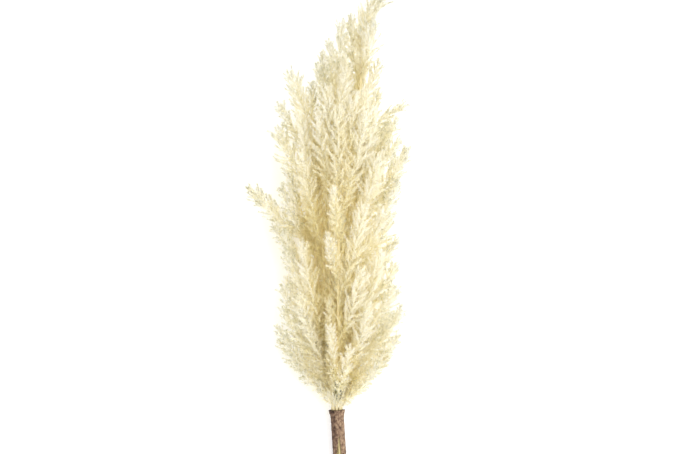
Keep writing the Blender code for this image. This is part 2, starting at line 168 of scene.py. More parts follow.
@dataclass(frozen=True)
class Stem:
    """A flowering stem: its seat in the handle, its route above it, and its sprays."""

    seat_deg: float | None
    route: list[Triple]
    sides: list[Side]

    def seat(self) -> Vector:
        """Where the stem stands in the handle, measured from the handle's axis."""
        if self.seat_deg is None:
            return Vector((0.0, 0.0, 0.0))
        turn = math.radians(self.seat_deg)
        return Vector((math.cos(turn), 0.0, math.sin(turn))) * RING_RADIUS

    def line(self, steps: int = 2) -> list[Vector]:
        """The stem's middle line, straight in the handle and then along its route.

        Args:
            steps: How many runs each stretch of the route gets.

        Returns:
            The line's points, from the cut end to the tip.
        """
        foot = handle_middle(0.0) + self.seat()
        top = handle_middle(HANDLE_TOP_V) + self.seat()
        route = [Vector(place) for place in self.route]
        bends = smooth_line([foot.lerp(top, STRAIGHT_SHARE), top, *route], steps)
        return [foot, *bends[steps:]]

    def marks(self, steps: int = 2) -> Marks:
        """The stem's middle line with its radius, which tapers above the handle.

        Args:
            steps: How many runs each stretch of the route gets.

        Returns:
            Each point of the line with the radius there.
        """
        line = self.line(steps)
        thick = CENTRE_STEM_RADIUS if self.seat_deg is None else RING_STEM_RADIUS
        top = line[-1].y
        shares = [max(0.0, (place.y - HANDLE_TOP_V) / (top - HANDLE_TOP_V)) for place in line]
        return [(place, thick + (STEM_TIP_RADIUS - thick) * share) for place, share in zip(line, shares)]

    def point_at(self, v: float) -> Vector:
        """The point of the stem's middle line at that distance along the bundle."""
        line = self.line()
        for a, b in zip(line, line[1:]):
            if a.y <= v <= b.y:
                return a.lerp(b, (v - a.y) / (b.y - a.y))
        return line[-1].copy()


STEMS = {
    "stem_crown": Stem(None, [
        (-1, 140, 0), (2, 200, 0), (6, 260, 1), (14, 330, 2), (20, 390, 1), (23, 430, 0), (22, 454, 0),
    ], [
        Side(446, (45, 512, 0), 14, 0, -0.5, 1.9), Side(425, (33, 478, 9), 13, 6, 0.12, 1.3),
        Side(405, (12, 486, -7), 11, -6), Side(340, (11, 438, -9), 9, -12), Side(215, (3, 290, 8), 9, 9),
        Side(165, (5, 238, 6), 9, 12), Side(385, (41, 441, 4), 9), Side(352, (68, 398, 3), 9, 0, -0.15),
        Side(346, (42, 413, -3), 9, -9), Side(360, (24, 446, -14), 9, -6),
        Side(310, (18, 398, -17), 10, -12), Side(330, (26, 412, 18), 9, 3),
    ]),
    "stem_top_left": Stem(135, [(-6, 150, 6), (-8, 220, 9), (-8, 290, 11), (-5, 345, 11), (-2, 385, 9)], [
        Side(385, (4, 478, 5), 12, 0, 0.0), Side(372, (-9, 460, 9), 9, 9),
        Side(352, (-16, 450, 1), 8, -3), Side(350, (-21, 437, 7), 7, 12),
        Side(330, (-10, 412, 20), 12, 12), Side(350, (8, 440, 16), 11, 12),
        Side(300, (-20, 388, 20), 10, 12), Side(135, (-9, 205, 16), 7, 12),
    ]),
    "stem_left_high": Stem(180, [(-9, 150, 1), (-13, 220, 2), (-17, 290, 3), (-18, 345, 3)], [
        Side(342, (-47, 428, 2), 13, 0, -0.04), Side(335, (-26, 420, -6), 8, -6),
        Side(330, (-60, 399, -5), 9, 0, 0.02), Side(285, (-60, 372, 3), 13, 0, 0.02),
        Side(300, (-38, 388, 16), 10, 3), Side(255, (-36, 350, 22), 11, 3),
        Side(240, (-50, 330, -10), 10), Side(312, (-40, 385, -18), 10, -3),
    ]),
    "stem_left_low": Stem(225, [(-9, 140, -4), (-16, 190, -7), (-22, 238, -7), (-25, 264, -6)], [
        Side(260, (-90, 313, -4), 11, 0, 0.05, 1.4), Side(236, (-66, 276, 0), 8),
        Side(245, (-57, 316, 7), 8, 3), Side(172, (-54, 270, 4), 11, 9, 0.15),
        Side(146, (-57, 216, 4), 10), Side(128, (-56, 194, 10), 9), Side(118, (-62, 175, 2), 9),
        Side(108, (-60, 160, -8), 8, -3), Side(104, (-47, 145, 2), 5), Side(96, (-20, 122, 5), 4, -9),
        Side(205, (-56, 268, -20), 11), Side(158, (-52, 224, -19), 11), Side(124, (-38, 205, 27), 11, -6),
        Side(150, (-36, 258, 22), 12, 6), Side(112, (-28, 176, 25), 9, -12),
    ]),
    "stem_right_high": Stem(45, [(4, 150, 7), (10, 220, 10), (17, 290, 10), (20, 330, 9)], [
        Side(330, (38, 378, 4), 9, 12), Side(312, (58, 382, 7), 9, 0, 0.0),
        Side(300, (60, 362, 11), 10, 9, -0.08), Side(262, (69, 353, 3), 11, 0, 0.05, 1.3),
        Side(230, (59, 320, 9), 12, 6), Side(304, (36, 392, 16), 12, 12), Side(265, (40, 345, 24), 13, 9),
    ]),
    "stem_right_low": Stem(0, [(9, 140, 1), (17, 190, 2), (25, 238, 2)], [
        Side(238, (54, 286, 2), 10), Side(218, (60, 263, 4), 7, 0, 0.05), Side(180, (58, 238, 4), 10),
        Side(156, (58, 214, 10), 11), Side(136, (65, 194, 2), 9, 0, 0.2), Side(118, (61, 166, 8), 9),
        Side(106, (53, 149, 0), 8, -6), Side(102, (41, 139, 6), 5, 12), Side(96, (18, 121, 6), 4, -3),
        Side(196, (54, 258, -18), 11), Side(134, (54, 188, -17), 10), Side(122, (30, 198, 28), 11),
        Side(154, (42, 250, 26), 12),
    ]),
    "stem_front": Stem(90, [(-1, 140, 11), (0, 190, 18), (1, 240, 24), (0, 292, 27)], [
        Side(292, (1, 393, 30), 12, 6, 0.0), Side(288, (17, 403, 27), 13),
        Side(280, (28, 388, 27), 12, 9), Side(262, (-5, 314, 40), 8, 6), Side(222, (-10, 268, 38), 8, 3),
        Side(204, (26, 296, 36), 13), Side(160, (24, 232, 36), 12), Side(118, (-7, 178, 30), 6, 6),
        Side(108, (12, 158, 26), 8, 9),
    ]),
    "stem_back_left": Stem(270, [(-4, 150, -9), (-8, 220, -14), (-8, 290, -14), (-5, 345, -10)], [
        Side(345, (-6, 428, -14), 10), Side(300, (-24, 383, -27), 11), Side(262, (-32, 345, -34), 11),
        Side(212, (-30, 302, -50), 12), Side(168, (-32, 246, -41), 12), Side(132, (-36, 205, -34), 12),
        Side(106, (-32, 166, -24), 10, -3), Side(110, (-10, 182, -30), 11, -6),
    ]),
    "stem_back_right": Stem(315, [(5, 150, -7), (12, 220, -13), (15, 290, -13), (18, 345, -9)], [
        Side(345, (52, 380, -16), 10), Side(300, (26, 376, -28), 11, -3), Side(262, (44, 335, -30), 11),
        Side(212, (34, 294, -49), 12), Side(168, (32, 240, -41), 12), Side(132, (36, 200, -33), 12),
        Side(106, (34, 162, -24), 10), Side(200, (6, 280, -42), 11),
    ]),
}


@dataclass(frozen=True)
class Spray:
    """A side spray as its curve's three control points, its half width and how crowded it is."""

    root: Vector
    bend: Vector
    tip: Vector
    girth: float
    crowding: float

    @classmethod
    def arching(cls, root: Vector, side: Side) -> "Spray":
        """A spray that leaves its stem at a slant and arches to its tip.

        Args:
            root: Where it leaves its stem.
            side: The spray's plan.

        Returns:
            The spray.
        """
        tip = Vector(side.tip) + Vector((0.0, 0.0, side.aside * TIP_ASIDE))
        reach = tip - root
        reach -= reach.normalized() * LAST_TWIG
        outward = Vector((reach.x, 0.0, reach.z))
        bend = root + reach * 0.5 + (outward - Vector((0.0, outward.length, 0.0))) * side.arch
        return cls(root, bend + Vector((0.0, 0.0, side.aside)), root + reach, side.girth, side.crowding)

    def at(self, t: float) -> Vector:
        """A point of the spray's curve, t from 0 at the root to 1 at the tip."""
        return self.root * (1 - t) ** 2 + self.bend * (2 * t * (1 - t)) + self.tip * t**2

    def way(self, t: float) -> Vector:
        """The direction of the spray's curve there."""
        return ((self.bend - self.root) * (1 - t) + (self.tip - self.bend) * t).normalized()

    def length(self) -> float:
        """The distance from root to tip."""
        return (self.tip - self.root).length


def fullness(t: float) -> float:
    """How far the twigs stand out along a spray, as a share of its half width."""
    if t < FULL_FROM:
        return ROOT_FULLNESS + (1 - ROOT_FULLNESS) * math.sin(t / FULL_FROM * math.pi / 2)
    return 1.0 - (1 - TIP_FULLNESS) * ((t - FULL_FROM) / (1 - FULL_FROM)) ** TIP_ROUNDING


def deselect_all() -> None:
    """Leaves edit mode and deselects every object."""
    if bpy.context.object and bpy.context.object.mode != "OBJECT":
        bpy.ops.object.mode_set(mode="OBJECT")
    bpy.ops.object.select_all(action="DESELECT")


@contextmanager
def editing(obj: Object) -> Iterator[None]:
    """Edit mode on one object, with nothing else selected."""
    deselect_all()
    bpy.context.view_layer.objects.active = obj
    obj.select_set(True)
    bpy.ops.object.mode_set(mode="EDIT")
    yield
    bpy.ops.object.mode_set(mode="OBJECT")


def pick(obj: Object, chosen: Callable[[Vector], bool]) -> None:
    """Selects the vertices whose places pass the test, in edit mode.

    Args:
        obj: The object in edit mode.
        chosen: The test on a vertex's place.
    """
    bpy.ops.mesh.select_mode(type="VERT")
    work = bmesh.from_edit_mesh(obj.data)
    for vert in work.verts:
        vert.select_set(chosen(vert.co))
    work.select_flush_mode()
    bmesh.update_edit_mesh(obj.data)


def taken(obj: Object) -> Mesh:
    """An object's mesh, with the object removed."""
    mesh = obj.data
    bpy.data.objects.remove(obj, do_unlink=True)
    return mesh


class Slot(Enum):
    """A plume's material slots."""

    FLORETS = 0
    STEM = 1


class Posy:
    """Copies of modelled meshes, gathered into one mesh."""

    def __init__(self) -> None:
        """Starts with nothing gathered."""
        self.work = bmesh.new()
        self.tones: list[float] = []
        self.counts: list[int] = []

    def add(self, mesh: Mesh, place: Matrix | None = None, slot: Slot = Slot.FLORETS,
            tone: float = 1.0) -> None:
        """Adds a copy of a mesh.

        Args:
            mesh: What is copied.
            place: Where the copy goes, from the mesh's own place.
            slot: The material slot of its faces.
            tone: How pale it is, from 0 for the heart's painted tan shade to 1 for a spray's pale end.
        """
        self.tones.append(tone)
        self.counts.append(len(mesh.vertices))
        copy = mesh.copy()
        if place:
            copy.transform(place)
        if slot is not Slot.FLORETS:
            copy.polygons.foreach_set("material_index", [slot.value] * len(copy.polygons))
            copy.shade_smooth()
        self.work.from_mesh(copy)
        bpy.data.meshes.remove(copy)

    def gathered(self, name: str) -> Mesh:
        """The copies as one mesh."""
        mesh = bpy.data.meshes.new(name)
        self.work.to_mesh(mesh)
        self.work.free()
        tones = mesh.attributes.get(TONE) or mesh.attributes.new(TONE, "FLOAT", "POINT")
        tones.data.foreach_set("value", np.repeat(np.array(self.tones, np.float32), self.counts))
        return mesh


def framed(place: Vector, along: Vector, towards: Vector, stretch: Vector) -> Matrix:
    """A placement whose Z runs along one direction and whose X leans towards another.

    Args:
        place: Where the origin goes.
        along: The direction that Z takes.
        towards: The direction that X takes, as far as it can.
        stretch: The scale along X, Y and Z.

    Returns:
        The placement.
    """
    z = along.normalized()
    x = (towards - z * towards.dot(z)).normalized()
    turned = Matrix((x, z.cross(x), z)).transposed().to_4x4()
    return Matrix.Translation(place) @ turned @ Matrix.Diagonal((*stretch, 1.0))


def direction(along: Vector, side: Vector, turn: float, lean: float) -> Vector:
    """A direction that leans off another.

    Args:
        along: The direction that it leans off.
        side: A direction at right angles to it, where the turn is 0.
        turn: How far round it leans.
        lean: How far it leans.

    Returns:
        The direction, of length 1.
    """
    around = side * math.cos(turn) + along.cross(side) * math.sin(turn)
    return along * math.cos(lean) + around * math.sin(lean)


def tube(marks: Marks, sides: int) -> Mesh:
    """A tapering round tube along the marks, closed at both ends.

    Args:
        marks: Its middle line and the radius at each point.
        sides: How many sides it has, an even number from 4 up.

    Returns:
        The tube's mesh.
    """
    curve = bpy.data.curves.new("tube", "CURVE")
    curve.dimensions = "3D"
    curve.bevel_depth = 1.0
    curve.bevel_resolution = sides // 2 - 2
    curve.use_fill_caps = True
    spline = curve.splines.new("POLY")
    spline.points.add(len(marks) - 1)
    for point, (place, radius) in zip(spline.points, marks):
        point.co = (*place, 1.0)
        point.radius = radius
    drawn = bpy.data.objects.new("tube", curve)
    bpy.context.scene.collection.objects.link(drawn)
    deselect_all()
    bpy.context.view_layer.objects.active = drawn
    drawn.select_set(True)
    bpy.ops.object.convert(target="MESH")
    made = bpy.context.object
    with editing(made):
        bpy.ops.mesh.select_all(action="SELECT")
        bpy.ops.mesh.remove_doubles(threshold=MERGE_DISTANCE)
        bpy.ops.mesh.normals_make_consistent(inside=False)
        bpy.ops.mesh.quads_convert_to_tris()
    return taken(made)


@dataclass(frozen=True)
class Needle:
    """A floret's bract: a thin three-sided spike whose point nods and takes painted shade, wholly at a share
    of 1.
    """

    point_shade_share: float
    length: float
    radius: float
    nod: float = 0.8

    def model(self) -> Mesh:
        """The needle, standing on its root, with its point, which takes painted shade, nodding towards +X."""
        deselect_all()
        middle = (0.0, 0.0, self.length / 2)
        bpy.ops.mesh.primitive_cone_add(vertices=3, radius1=self.radius, radius2=0.0, depth=self.length,
                                        end_fill_type="NGON", location=middle)
        spike = bpy.context.object
        bpy.ops.object.transform_apply(location=True, rotation=False, scale=False)
        with editing(spike):
            pick(spike, lambda place: place.z > self.length / 2)
            bpy.ops.transform.translate(value=(self.nod, 0.0, 0.0))
        # The point takes this share of painted shade, the root none.
        tips = spike.data.attributes.new(POINT_SHADE, "FLOAT", "POINT")
        tips.data.foreach_set("value", [self.point_shade_share * (vert.co.z > 0.0) for vert in spike.data.vertices])
        return taken(spike)


class TwigLength(Enum):
    """The lengths that twigs are modelled in."""

    TUFT = 5.0
    SHORT = 8.0
    MIDDLE = 12.0
    LONG = 17.0


@dataclass(frozen=True)
class Twig:
    """A twig of a spray: a thin spine, crowded all round with a bowed row of needles that lean to its end."""

    length: float
    root_radius: float = 0.34
    end_radius: float = 0.12
    bow: float = 0.07
    bow_step: float = 0.01
    forks_per_mm: float = 1.12
    fork_run: Band = (0.08, 0.98)
    fork_opening: float = math.radians(24.0)
    opening_spread: Band = (0.5, 1.5)
    turn_jitter: float = 0.5
    root_lean: float = math.radians(62.0)
    end_lean: float = math.radians(38.0)
    lean_spread: float = 0.4
    root_size: float = 0.72
    middle_gain: float = 0.3
    size_spread: Band = (0.6, 1.25)
    end_share: float = 0.72
    end_needles: int = 5
    end_jitter: float = 0.2
    end_splay: Band = (math.radians(15.0), math.radians(50.0))
    end_size: Band = (0.6, 0.95)

    def along(self, share: float) -> Vector:
        """A point of the needles' row, which bows towards -X."""
        return Vector((-self.bow * self.length * math.sin(math.pi * share), 0.0, self.length * share))

    def spine(self) -> Mesh:
        """The spine, a triangle drawn out to a thinner end."""
        deselect_all()
        bpy.ops.mesh.primitive_circle_add(vertices=3, radius=self.root_radius, fill_type="NGON")
        spine = bpy.context.object
        end = self.along(1.0)
        shrink = self.end_radius / self.root_radius
        with editing(spine):
            bpy.ops.mesh.select_all(action="SELECT")
            bpy.ops.mesh.extrude_region_move(TRANSFORM_OT_translate={"value": end})
            bpy.ops.transform.resize(value=(shrink, shrink, 1.0), center_override=end)
            bpy.ops.mesh.select_all(action="SELECT")
            bpy.ops.mesh.normals_make_consistent(inside=False)
            bpy.ops.mesh.quads_convert_to_tris()
        return taken(spine)

    def model(self, needle: Mesh, end_needle: Mesh, draw: random.Random) -> Mesh:
        """The twig, standing on its root, with a pair of needles at each fork and a tuft at its end.

        Args:
            needle: The needle that is copied.
            end_needle: The needle that is copied past the end share.
            draw: The source of chance.

        Returns:
            The twig's mesh.
        """
        posy = Posy()
        posy.add(self.spine())
        count = round(self.length * self.forks_per_mm)
        first, last = self.fork_run
        for i in range(count):
            share = first + (last - first) * (i + draw.random()) / count
            lean = self.root_lean + (self.end_lean - self.root_lean) * share
            turn = i * GOLDEN_TURN + draw.uniform(-self.turn_jitter, self.turn_jitter)
            spike = end_needle if share > self.end_share else needle
            for side in (-self.fork_opening, self.fork_opening):
                tilt = lean + draw.uniform(-self.lean_spread, self.lean_spread)
                size = self.root_size + self.middle_gain * math.sin(math.pi * share)
                size *= draw.uniform(*self.size_spread)
                opened = turn + side * draw.uniform(*self.opening_spread)
                self.set_needle(posy, spike, share, opened, tilt, size)
        for i in range(self.end_needles):
            turn = math.tau * (i + draw.uniform(-self.end_jitter, self.end_jitter)) / self.end_needles
            lean = draw.uniform(*self.end_splay)
            self.set_needle(posy, end_needle, last, turn, lean, draw.uniform(*self.end_size))
        return posy.gathered("twig")

    def set_needle(self, posy: Posy, needle: Mesh, share: float, turn: float, lean: float,
                   size: float) -> None:
        """Adds a needle to the twig.

        Args:
            posy: The twig so far.
            needle: The needle that is copied.
            share: How far along the row it stands.
            turn: Which way round the row it leans.
            lean: How far it leans off the row.
            size: Its size, as a share of the needle's.
        """
        row_way = (self.along(share + self.bow_step) - self.along(share - self.bow_step)).normalized()
        way = direction(row_way, Vector((0.0, 1.0, 0.0)), turn, lean)
        posy.add(needle, framed(self.along(share), way, row_way, Vector((size, size, size))))


class TwigBox:
    """The twigs that the sprays are set with: a few of each length, plain or with painted shade at their
    ends.
    """

    VARIANTS = 4
    # Plain needles take a little painted shade at their points; the end needles of shaded twigs take it all.
    NEEDLES = {
        False: Needle(point_shade_share=0.25, length=4.2, radius=0.36),
        True: Needle(point_shade_share=1.0, length=4.8, radius=0.45),
    }

    def __init__(self, draw: random.Random) -> None:
        """Models the twigs.

        Args:
            draw: The source of chance, also for the choice among them later.
        """
        self.draw = draw
        needles = {shaded_end: needle.model() for shaded_end, needle in self.NEEDLES.items()}
        self.twigs: dict[tuple[TwigLength, bool], list[Mesh]] = {}
        for kind in TwigLength:
            twig = Twig(kind.value)
            for shaded_end, end_needle in needles.items():
                made = [twig.model(needles[False], end_needle, draw) for _ in range(self.VARIANTS)]
                self.twigs[kind, shaded_end] = made

    def fitting(self, length: float, shaded_end: bool) -> tuple[Mesh, float]:
        """A twig of the nearest length.

        Args:
            length: The length that it should have.
            shaded_end: Whether the needles at its end take painted shade.

        Returns:
            A twig's mesh, and how far it has to be stretched.
        """
        kind = min(TwigLength, key=lambda each: abs(math.log(each.value / length)))
        return self.draw.choice(self.twigs[kind, shaded_end]), length / kind.value


@dataclass(frozen=True)
class SprayMaker:
    """Sets sprays and stems with twigs, from just above their roots to their tips.

    A twig has painted shade at its end where it stands on a spray at the bundle's fringe, leans to the side
    and is past the share where the shade starts, or the inner one where it leans back towards the bundle.
    """

    box: TwigBox
    draw: random.Random
    twig_step: float = 1.0
    turn_jitter: float = 0.4
    shaded_end_from: float = 0.35
    inner_shaded_end_from: float = 0.65
    fringe_height: float = 16.0
    sideways: float = 0.6
    # Low tones, at the sprays' roots and in the heart, take the heart's painted tan shade.
    root_tone: float = 0.25
    tone_spread: float = 0.2
    bare_root: float = 0.06
    root_lean: float = math.radians(50.0)
    tip_lean: float = math.radians(30.0)
    lean_jitter: float = 0.36
    reach_spread: Band = (0.8, 1.1)
    end_allowance: float = 2.3
    shortest: float = 6.0
    last_share: float = 0.97
    stem_bare_v: float = 94.0
    stem_twig_step: float = 1.5
    stem_crowding: float = 1.5
    stem_reach: float = 2.0
    stem_twig_lean: Band = (math.radians(12.0), math.radians(48.0))
    stem_twig_length: float = 12.0
    stem_length_spread: Band = (0.75, 1.2)
    stem_root_share: float = 0.55
    stem_grows_over: float = 40.0
    heart_shade_tone: float = 0.1
    collar_v: float = 106.0
    collar_lean: Band = (math.radians(10.0), math.radians(38.0))
    collar_tone: float = 0.9
    parting: Band = (102.0, 124.0)
    parting_facing: float = 0.25
    least_cut: float = 0.3
    box_margin: float = 0.0014
    least_girth: float = 0.5
    most_girth: float = 1.15
    same_way: float = 0.999
    rachis_step: float = 7.0
    rachis_steps: int = 5
    rachis_sides: int = 4
    rachis_root_radius: float = 0.7
    rachis_tip_radius: float = 0.3

    def rachis(self, spray: Spray) -> Mesh:
        """The spray's own thin stalk."""
        steps = max(self.rachis_steps, round(spray.length() / self.rachis_step))
        taper = self.rachis_tip_radius - self.rachis_root_radius
        marks = [(spray.at(i / steps), self.rachis_root_radius + taper * i / steps) for i in range(steps + 1)]
        return tube(marks, self.rachis_sides)

    def turn(self, i: int, start: float = 0.0) -> float:
        """How far round its spray or stem a twig leans."""
        return start + i * GOLDEN_TURN + self.draw.uniform(-self.turn_jitter, self.turn_jitter)

    def set_spray(self, posy: Posy, spray: Spray) -> int:
        """Adds a spray to a plume.

        Args:
            posy: The plume so far.
            spray: The spray's curve.

        Returns:
            How many twigs it has.
        """
        posy.add(self.rachis(spray), tone=self.root_tone)
        count = round(spray.length() * (1 - self.bare_root) * spray.crowding / self.twig_step)
        start = self.draw.uniform(0.0, math.tau)
        spray_tone = self.draw.uniform(-self.tone_spread, self.tone_spread)
        fringe = abs(spray.tip.z) < self.fringe_height
        reach_u = spray.tip.x - spray.root.x
        for i in range(count):
            t = self.bare_root + (1 - self.bare_root) * (i + self.draw.random()) / count
            way = spray.way(t)
            lean = self.root_lean + (self.tip_lean - self.root_lean) * t
            reach = spray.girth * fullness(t) / math.sin(lean) * self.draw.uniform(*self.reach_spread)
            lean += self.draw.uniform(-self.lean_jitter, self.lean_jitter)
            out = direction(way, way.orthogonal().normalized(), self.turn(i, start), lean)
            length = max(self.shortest, reach - self.end_allowance)
            # The tone rises from root to tip, so a spray's root takes the painted tan shade of the heart.
            tone = self.root_tone + (1 - self.root_tone) * t + spray_tone
            # Twigs lying sideways on sprays at the fringe get painted shade at their ends.
            shaded_end_from = self.shaded_end_from if out.x * reach_u > 0.0 else self.inner_shaded_end_from
            shaded_end = fringe and t > shaded_end_from and abs(out.z) < self.sideways
            self.set_twig(posy, spray.at(t), way, out, length, shaded_end, tone)
        self.set_twig(posy, spray.at(1.0), spray.way(self.last_share), spray.way(1.0), LAST_TWIG, fringe, 1.0)
        return count + 1

    def dress_stem(self, posy: Posy, stem: Stem) -> int:
        """Sets short twigs round a stem, which fill the heart of the bundle and make a collar on the handle.

        Args:
            posy: The plume so far.
            stem: The stem.

        Returns:
            How many twigs it may have at most.
        """
        top = stem.marks()[-1][0].y
        count = round((top - self.stem_bare_v) / self.stem_twig_step)
        for i in range(count):
            share = ((i + self.draw.random()) / count) ** self.stem_crowding
            v = self.stem_bare_v + (top - self.stem_bare_v) * share
            ahead = stem.point_at(min(top, v + self.stem_reach))
            way = (ahead - stem.point_at(v - self.stem_reach)).normalized()
            lean = self.draw.uniform(*(self.collar_lean if v < self.collar_v else self.stem_twig_lean))
            out = direction(way, way.orthogonal().normalized(), self.turn(i), lean)
            if self.parting[0] < v < self.parting[1] and out.z > self.parting_facing:
                continue
            grown = min(1.0, self.stem_root_share + (v - self.stem_bare_v) / self.stem_grows_over)
            length = self.stem_twig_length * grown * self.draw.uniform(*self.stem_length_spread)
            heart = v >= self.collar_v
            # Twigs in the heart take its painted tan shade; those of the collar are pale.
            tone = self.draw.uniform(self.heart_shade_tone, self.root_tone) if heart else self.collar_tone
            self.set_twig(posy, stem.point_at(v), way, out, length, False, tone)
        return count

    def kept_in(self, place: Vector, way: Vector, length: float) -> float:
        """The length at which a twig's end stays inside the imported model's box, or close to it.

        Args:
            place: Where it stands.
            way: Its direction.
            length: The length that it should have.

        Returns:
            That length, or a shorter one.
        """
        share = 1.0
        for start, end, low, high in zip(LAY @ place, LAY @ (place + way * length), *CAD_BOX):
            wall = high - self.box_margin if end > start else low + self.box_margin
            if abs(end - start) > abs(wall - start):
                share = min(share, (wall - start) / (end - start))
        return length * max(self.least_cut, share)

    def set_twig(self, posy: Posy, place: Vector, spray_way: Vector, way: Vector, length: float, shaded_end: bool,
                 tone: float) -> None:
        """Adds a twig, its bow turned away from the spray.

        Args:
            posy: The plume so far.
            place: Where it stands on the spray.
            spray_way: The direction of the spray there.
            way: The twig's direction.
            length: The twig's length.
            shaded_end: Whether the needles at its end take painted shade.
            tone: How pale it is, from 0 to 1.
        """
        twig, stretch = self.box.fitting(self.kept_in(place, way, length), shaded_end)
        girth = min(self.most_girth, self.least_girth + (1 - self.least_girth) * stretch)
        towards = spray_way if abs(spray_way.dot(way)) < self.same_way else way.orthogonal()
        posy.add(twig, framed(place, way, towards, Vector((girth, girth, stretch))), tone=tone)


def press_flat(obj: Object, height: float) -> None:
    """Presses what hangs lowest together, so that its underside lies on the table at z = 0.

    Args:
        obj: The piece, in metres.
        height: How high above the table the pressed part reaches.
    """
    lowest = min(vert.co.z for vert in obj.data.vertices)
    if lowest >= 0.0:
        return
    share = height / (height - lowest)
    with editing(obj):
        pick(obj, lambda place: place.z < height)
        bpy.ops.transform.resize(value=(1.0, 1.0, share), center_override=(0.0, 0.0, height))


class Finish:
    """A material's nodes, wired as they are added."""

    def __init__(self, name: str, roughness: float, gloss: float) -> None:
        """Starts a material that reads the bundle's own directions.

        Args:
            name: The material's name.
            roughness: How matt it is.
            gloss: How much it reflects.
        """
        self.material = bpy.data.materials.new(name)
        self.material.use_nodes = True
        self.tree = self.material.node_tree
        self.shader = self.tree.nodes["Principled BSDF"]
        self.shader.inputs["Roughness"].default_value = roughness
        self.shader.inputs["Specular IOR Level"].default_value = gloss
        place = self.tree.nodes.new("ShaderNodeTexCoord")
        turn = Matrix.Rotation(-RISE, 4, "X")
        self.bundle = self.tree.nodes.new("ShaderNodeMapping")
        self.bundle.inputs["Scale"].default_value = (1 / MM, 1 / MM, 1 / MM)
        self.bundle.inputs["Rotation"].default_value = (-RISE, 0.0, 0.0)
        self.bundle.inputs["Location"].default_value = turn @ Vector((MIDDLE_U, MIDDLE_Y, -AXIS_HEIGHT))
        self.tree.links.new(place.outputs["Object"], self.bundle.inputs["Vector"])

    def node(self, kind: str, **inputs: object) -> bpy.types.Node:
        """Adds a node.

        Args:
            kind: The node's type.
            inputs: Its inputs by name, as values or as the sockets that feed them.

        Returns:
            The node.
        """
        made = self.tree.nodes.new(kind)
        for name, value in inputs.items():
            self.feed(made.inputs[name.replace("_", " ")], value)
        return made

    def feed(self, socket: Socket, value: object) -> None:
        """Sets a socket, or links another to it."""
        if isinstance(value, Socket):
            self.tree.links.new(value, socket)
        else:
            socket.default_value = value

    def noise(self, scale: float, stretch: Triple = (1.0, 1.0, 1.0), detail: float = 3.0) -> Socket:
        """Noise in the bundle's directions.

        Args:
            scale: Blobs to a millimetre.
            stretch: The scale along u, v and w.
            detail: How many finer layers it has.

        Returns:
            The noise's value, from 0 to 1.
        """
        turned = self.node("ShaderNodeMapping", Vector=self.bundle.outputs["Vector"], Scale=stretch)
        noise = self.node("ShaderNodeTexNoise", Vector=turned.outputs["Vector"], Scale=scale, Detail=detail)
        return noise.outputs["Fac"]

    def ramp(self, value: Socket, stops: list[tuple[float, Colour]]) -> Socket:
        """Colours for a value.

        Args:
            value: What is looked up.
            stops: The values and their colours, in rising order.

        Returns:
            The colour.
        """
        made = self.node("ShaderNodeValToRGB", Fac=value)
        elements = made.color_ramp.elements
        for _ in stops[2:]:
            elements.new(0.5)
        for element, (position, _) in zip(elements, stops):
            element.position = position
        for element, (_, colour) in zip(elements, stops):
            element.color = (*colour, 1.0)
        return made.outputs["Color"]

    def calculate(self, kind: str, *values: Socket) -> Socket:
        """The result of a Math node of that operation, fed with the values."""
        made = self.tree.nodes.new("ShaderNodeMath")
        made.operation = kind
        for socket, value in zip(made.inputs, values):
            self.feed(socket, value)
        return made.outputs["Value"]

    def product(self, *shares: Socket) -> Socket:
        """The shares multiplied together."""
        whole = shares[0]
        for share in shares[1:]:
            whole = self.calculate("MULTIPLY", whole, share)
        return whole

    def span(self, value: Socket, band: Band) -> Socket:
        """A value's share of the way from the band's first number to its second, clamped."""
        made = self.node("ShaderNodeMapRange", Value=value, From_Min=band[0], From_Max=band[1])
        return made.outputs["Result"]

    def mix(self, share: Socket, first: object, second: object, blend: str = "MIX") -> Socket:
        """Two colours mixed.

        Args:
            share: How much of the second there is.
            first: A colour or a socket.
            second: A colour or a socket.
            blend: The blend type.

        Returns:
            The mixed colour.
        """
        made = self.tree.nodes.new("ShaderNodeMix")
        made.data_type = "RGBA"
        made.blend_type = blend
        sockets = {socket.identifier: socket for socket in made.inputs}
        self.feed(sockets["Factor_Float"], share)
        for key, value in (("A_Color", first), ("B_Color", second)):
            self.feed(sockets[key], value if isinstance(value, Socket) else (*value, 1.0))
        return next(socket for socket in made.outputs if socket.identifier == "Result_Color")

    def attribute(self, name: str) -> Socket:
        """A value that the mesh carries."""
        made = self.node("ShaderNodeAttribute")
        made.attribute_name = name
        return made.outputs["Fac"]

    def distance(self, axis: str) -> Socket:
        """The distance along the bundle (Y) or across it (X), in millimetres."""
        return self.node("ShaderNodeSeparateXYZ", Vector=self.bundle.outputs["Vector"]).outputs[axis]

    def bump(self, height: Socket, strength: float, distance: float) -> None:
        """Gives the surface fine relief.

        Args:
            height: The relief.
            strength: How strongly it shows.
            distance: Its depth in metres.
        """
        made = self.node("ShaderNodeBump", Height=height, Strength=strength, Distance=distance)
        self.feed(self.shader.inputs["Normal"], made.outputs["Normal"])


